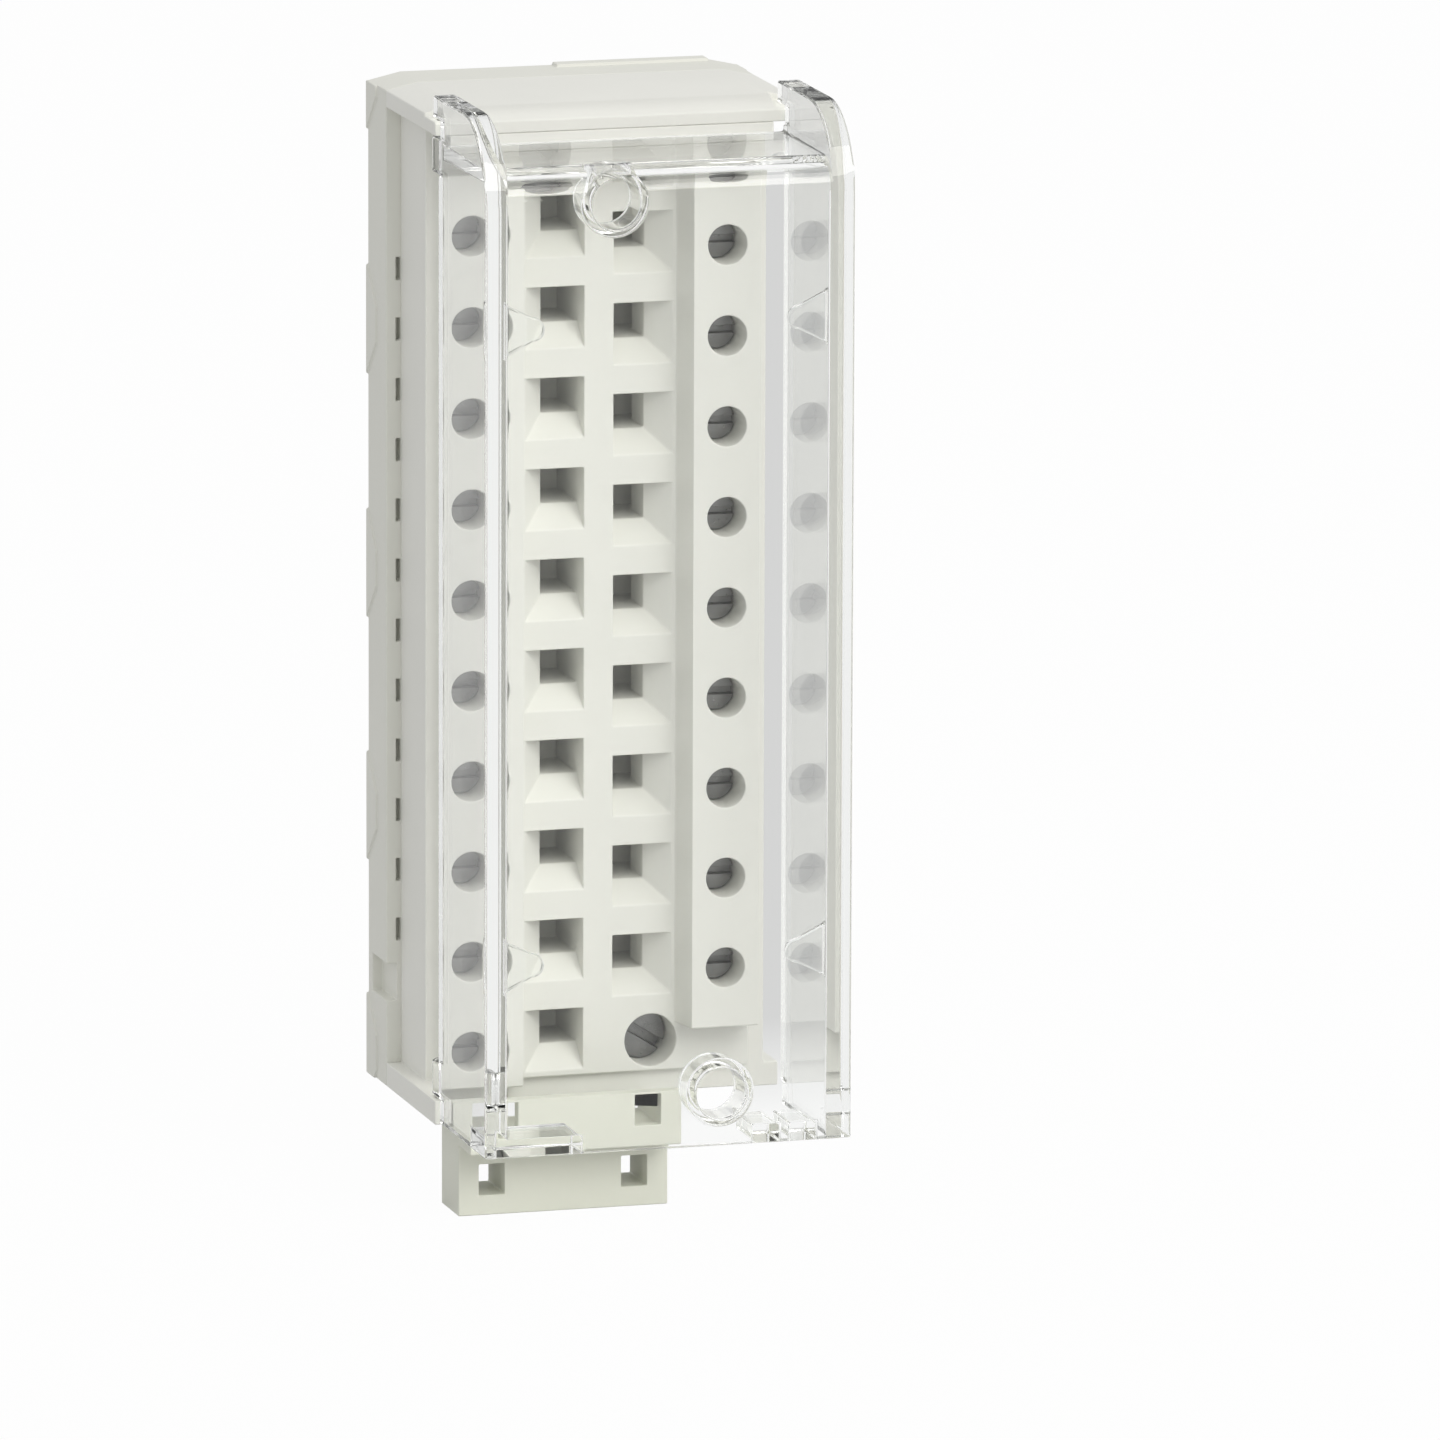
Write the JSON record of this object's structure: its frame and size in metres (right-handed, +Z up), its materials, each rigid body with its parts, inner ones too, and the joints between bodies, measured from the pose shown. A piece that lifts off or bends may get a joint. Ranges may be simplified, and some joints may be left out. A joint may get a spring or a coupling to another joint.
{
  "type": "removable terminal block",
  "caption": "Removable terminal block with two columns of cage clamps, wire entries between them, captive fixing screws, a cable tie bracket and a clear hinged cover.",
  "frame": {"origin": "centre of the rear mating face", "axes": "+X right, +Y back towards the module, +Z up; wires and tools come from -Y"},
  "size_m": [0.0316, 0.0402, 0.0933],
  "materials": {
    "ivory": "fine moulded",
    "grey_ivory": "fine moulded",
    "cream": "fine moulded",
    "clear": "clear, polished",
    "steel": "plated",
    "cage": "plated",
    "contact": "tinned"
  },
  "bodies": {
    "base": {"front_housing": "ivory", "rear_housing": "grey_ivory", "contacts_left": "contact", "contacts_right": "contact", "tie_bracket": "cream"},
    "cover": {"cover": "clear"},
    "fixing_top": {"fixing_screw_top": "steel", "retaining_clip_top": "steel"},
    "fixing_bottom": {"fixing_screw_bottom": "steel", "retaining_clip_bottom": "steel"},
    "screw_l1": {"clamp_screw_l1": "steel"},
    "cage_l1": {"clamp_cage_l1": "cage"},
    "screw_l2": {"clamp_screw_l2": "steel"},
    "cage_l2": {"clamp_cage_l2": "cage"},
    "screw_l3": {"clamp_screw_l3": "steel"},
    "cage_l3": {"clamp_cage_l3": "cage"},
    "screw_l4": {"clamp_screw_l4": "steel"},
    "cage_l4": {"clamp_cage_l4": "cage"},
    "screw_l5": {"clamp_screw_l5": "steel"},
    "cage_l5": {"clamp_cage_l5": "cage"},
    "screw_l6": {"clamp_screw_l6": "steel"},
    "cage_l6": {"clamp_cage_l6": "cage"},
    "screw_l7": {"clamp_screw_l7": "steel"},
    "cage_l7": {"clamp_cage_l7": "cage"},
    "screw_l8": {"clamp_screw_l8": "steel"},
    "cage_l8": {"clamp_cage_l8": "cage"},
    "screw_l9": {"clamp_screw_l9": "steel"},
    "cage_l9": {"clamp_cage_l9": "cage"},
    "screw_l10": {"clamp_screw_l10": "steel"},
    "cage_l10": {"clamp_cage_l10": "cage"},
    "screw_r1": {"clamp_screw_r1": "steel"},
    "cage_r1": {"clamp_cage_r1": "cage"},
    "screw_r2": {"clamp_screw_r2": "steel"},
    "cage_r2": {"clamp_cage_r2": "cage"},
    "screw_r3": {"clamp_screw_r3": "steel"},
    "cage_r3": {"clamp_cage_r3": "cage"},
    "screw_r4": {"clamp_screw_r4": "steel"},
    "cage_r4": {"clamp_cage_r4": "cage"},
    "screw_r5": {"clamp_screw_r5": "steel"},
    "cage_r5": {"clamp_cage_r5": "cage"},
    "screw_r6": {"clamp_screw_r6": "steel"},
    "cage_r6": {"clamp_cage_r6": "cage"},
    "screw_r7": {"clamp_screw_r7": "steel"},
    "cage_r7": {"clamp_cage_r7": "cage"},
    "screw_r8": {"clamp_screw_r8": "steel"},
    "cage_r8": {"clamp_cage_r8": "cage"},
    "screw_r9": {"clamp_screw_r9": "steel"},
    "cage_r9": {"clamp_cage_r9": "cage"},
    "screw_r10": {"clamp_screw_r10": "steel"},
    "cage_r10": {"clamp_cage_r10": "cage"}
  },
  "joints": [
    {"name": "cover_hinge", "type": "hinge", "parent": "base", "child": "cover", "pos_m": [-0.0143, -0.0193, 0], "axis": [0, 0, -1], "range_deg": [0, 110]},
    {"name": "fixing_top_turn", "type": "hinge", "parent": "base", "child": "fixing_top", "pos_m": [-0.0045, 0, 0.0361], "axis": [0, 1, 0], "continuous": true},
    {"name": "fixing_bottom_turn", "type": "hinge", "parent": "base", "child": "fixing_bottom", "pos_m": [0.0045, 0, -0.0372], "axis": [0, 1, 0], "continuous": true},
    {"name": "screw_l1_turn", "type": "hinge", "parent": "base", "child": "screw_l1", "pos_m": [-0.01, 0, 0.0308], "axis": [0, 1, 0], "range_deg": [0, 1440]},
    {"name": "cage_l1_rise", "type": "slide", "parent": "base", "child": "cage_l1", "axis": [0, -1, 0], "range_m": [0, 0.0018]},
    {"name": "screw_l2_turn", "type": "hinge", "parent": "base", "child": "screw_l2", "pos_m": [-0.01, 0, 0.0233], "axis": [0, 1, 0], "range_deg": [0, 1440]},
    {"name": "cage_l2_rise", "type": "slide", "parent": "base", "child": "cage_l2", "axis": [0, -1, 0], "range_m": [0, 0.0018]},
    {"name": "screw_l3_turn", "type": "hinge", "parent": "base", "child": "screw_l3", "pos_m": [-0.01, 0, 0.0158], "axis": [0, 1, 0], "range_deg": [0, 1440]},
    {"name": "cage_l3_rise", "type": "slide", "parent": "base", "child": "cage_l3", "axis": [0, -1, 0], "range_m": [0, 0.0018]},
    {"name": "screw_l4_turn", "type": "hinge", "parent": "base", "child": "screw_l4", "pos_m": [-0.01, 0, 0.0083], "axis": [0, 1, 0], "range_deg": [0, 1440]},
    {"name": "cage_l4_rise", "type": "slide", "parent": "base", "child": "cage_l4", "axis": [0, -1, 0], "range_m": [0, 0.0018]},
    {"name": "screw_l5_turn", "type": "hinge", "parent": "base", "child": "screw_l5", "pos_m": [-0.01, 0, 0.0008], "axis": [0, 1, 0], "range_deg": [0, 1440]},
    {"name": "cage_l5_rise", "type": "slide", "parent": "base", "child": "cage_l5", "axis": [0, -1, 0], "range_m": [0, 0.0018]},
    {"name": "screw_l6_turn", "type": "hinge", "parent": "base", "child": "screw_l6", "pos_m": [-0.01, 0, -0.0067], "axis": [0, 1, 0], "range_deg": [0, 1440]},
    {"name": "cage_l6_rise", "type": "slide", "parent": "base", "child": "cage_l6", "axis": [0, -1, 0], "range_m": [0, 0.0018]},
    {"name": "screw_l7_turn", "type": "hinge", "parent": "base", "child": "screw_l7", "pos_m": [-0.01, 0, -0.0142], "axis": [0, 1, 0], "range_deg": [0, 1440]},
    {"name": "cage_l7_rise", "type": "slide", "parent": "base", "child": "cage_l7", "axis": [0, -1, 0], "range_m": [0, 0.0018]},
    {"name": "screw_l8_turn", "type": "hinge", "parent": "base", "child": "screw_l8", "pos_m": [-0.01, 0, -0.0217], "axis": [0, 1, 0], "range_deg": [0, 1440]},
    {"name": "cage_l8_rise", "type": "slide", "parent": "base", "child": "cage_l8", "axis": [0, -1, 0], "range_m": [0, 0.0018]},
    {"name": "screw_l9_turn", "type": "hinge", "parent": "base", "child": "screw_l9", "pos_m": [-0.01, 0, -0.0292], "axis": [0, 1, 0], "range_deg": [0, 1440]},
    {"name": "cage_l9_rise", "type": "slide", "parent": "base", "child": "cage_l9", "axis": [0, -1, 0], "range_m": [0, 0.0018]},
    {"name": "screw_l10_turn", "type": "hinge", "parent": "base", "child": "screw_l10", "pos_m": [-0.01, 0, -0.0367], "axis": [0, 1, 0], "range_deg": [0, 1440]},
    {"name": "cage_l10_rise", "type": "slide", "parent": "base", "child": "cage_l10", "axis": [0, -1, 0], "range_m": [0, 0.0018]},
    {"name": "screw_r1_turn", "type": "hinge", "parent": "base", "child": "screw_r1", "pos_m": [0.01, 0, 0.0367], "axis": [0, 1, 0], "range_deg": [0, 1440]},
    {"name": "cage_r1_rise", "type": "slide", "parent": "base", "child": "cage_r1", "axis": [0, -1, 0], "range_m": [0, 0.0018]},
    {"name": "screw_r2_turn", "type": "hinge", "parent": "base", "child": "screw_r2", "pos_m": [0.01, 0, 0.0292], "axis": [0, 1, 0], "range_deg": [0, 1440]},
    {"name": "cage_r2_rise", "type": "slide", "parent": "base", "child": "cage_r2", "axis": [0, -1, 0], "range_m": [0, 0.0018]},
    {"name": "screw_r3_turn", "type": "hinge", "parent": "base", "child": "screw_r3", "pos_m": [0.01, 0, 0.0217], "axis": [0, 1, 0], "range_deg": [0, 1440]},
    {"name": "cage_r3_rise", "type": "slide", "parent": "base", "child": "cage_r3", "axis": [0, -1, 0], "range_m": [0, 0.0018]},
    {"name": "screw_r4_turn", "type": "hinge", "parent": "base", "child": "screw_r4", "pos_m": [0.01, 0, 0.0142], "axis": [0, 1, 0], "range_deg": [0, 1440]},
    {"name": "cage_r4_rise", "type": "slide", "parent": "base", "child": "cage_r4", "axis": [0, -1, 0], "range_m": [0, 0.0018]},
    {"name": "screw_r5_turn", "type": "hinge", "parent": "base", "child": "screw_r5", "pos_m": [0.01, 0, 0.0067], "axis": [0, 1, 0], "range_deg": [0, 1440]},
    {"name": "cage_r5_rise", "type": "slide", "parent": "base", "child": "cage_r5", "axis": [0, -1, 0], "range_m": [0, 0.0018]},
    {"name": "screw_r6_turn", "type": "hinge", "parent": "base", "child": "screw_r6", "pos_m": [0.01, 0, -0.0008], "axis": [0, 1, 0], "range_deg": [0, 1440]},
    {"name": "cage_r6_rise", "type": "slide", "parent": "base", "child": "cage_r6", "axis": [0, -1, 0], "range_m": [0, 0.0018]},
    {"name": "screw_r7_turn", "type": "hinge", "parent": "base", "child": "screw_r7", "pos_m": [0.01, 0, -0.0083], "axis": [0, 1, 0], "range_deg": [0, 1440]},
    {"name": "cage_r7_rise", "type": "slide", "parent": "base", "child": "cage_r7", "axis": [0, -1, 0], "range_m": [0, 0.0018]},
    {"name": "screw_r8_turn", "type": "hinge", "parent": "base", "child": "screw_r8", "pos_m": [0.01, 0, -0.0158], "axis": [0, 1, 0], "range_deg": [0, 1440]},
    {"name": "cage_r8_rise", "type": "slide", "parent": "base", "child": "cage_r8", "axis": [0, -1, 0], "range_m": [0, 0.0018]},
    {"name": "screw_r9_turn", "type": "hinge", "parent": "base", "child": "screw_r9", "pos_m": [0.01, 0, -0.0233], "axis": [0, 1, 0], "range_deg": [0, 1440]},
    {"name": "cage_r9_rise", "type": "slide", "parent": "base", "child": "cage_r9", "axis": [0, -1, 0], "range_m": [0, 0.0018]},
    {"name": "screw_r10_turn", "type": "hinge", "parent": "base", "child": "screw_r10", "pos_m": [0.01, 0, -0.0308], "axis": [0, 1, 0], "range_deg": [0, 1440]},
    {"name": "cage_r10_rise", "type": "slide", "parent": "base", "child": "cage_r10", "axis": [0, -1, 0], "range_m": [0, 0.0018]}
  ],
  "couplings": [
    {"joint": "screw_l1_turn", "follows": "cage_l1_rise", "rad_per_m": 13963},
    {"joint": "screw_l2_turn", "follows": "cage_l2_rise", "rad_per_m": 13963},
    {"joint": "screw_l3_turn", "follows": "cage_l3_rise", "rad_per_m": 13963},
    {"joint": "screw_l4_turn", "follows": "cage_l4_rise", "rad_per_m": 13963},
    {"joint": "screw_l5_turn", "follows": "cage_l5_rise", "rad_per_m": 13963},
    {"joint": "screw_l6_turn", "follows": "cage_l6_rise", "rad_per_m": 13963},
    {"joint": "screw_l7_turn", "follows": "cage_l7_rise", "rad_per_m": 13963},
    {"joint": "screw_l8_turn", "follows": "cage_l8_rise", "rad_per_m": 13963},
    {"joint": "screw_l9_turn", "follows": "cage_l9_rise", "rad_per_m": 13963},
    {"joint": "screw_l10_turn", "follows": "cage_l10_rise", "rad_per_m": 13963},
    {"joint": "screw_r1_turn", "follows": "cage_r1_rise", "rad_per_m": 13963},
    {"joint": "screw_r2_turn", "follows": "cage_r2_rise", "rad_per_m": 13963},
    {"joint": "screw_r3_turn", "follows": "cage_r3_rise", "rad_per_m": 13963},
    {"joint": "screw_r4_turn", "follows": "cage_r4_rise", "rad_per_m": 13963},
    {"joint": "screw_r5_turn", "follows": "cage_r5_rise", "rad_per_m": 13963},
    {"joint": "screw_r6_turn", "follows": "cage_r6_rise", "rad_per_m": 13963},
    {"joint": "screw_r7_turn", "follows": "cage_r7_rise", "rad_per_m": 13963},
    {"joint": "screw_r8_turn", "follows": "cage_r8_rise", "rad_per_m": 13963},
    {"joint": "screw_r9_turn", "follows": "cage_r9_rise", "rad_per_m": 13963},
    {"joint": "screw_r10_turn", "follows": "cage_r10_rise", "rad_per_m": 13963}
  ]
}
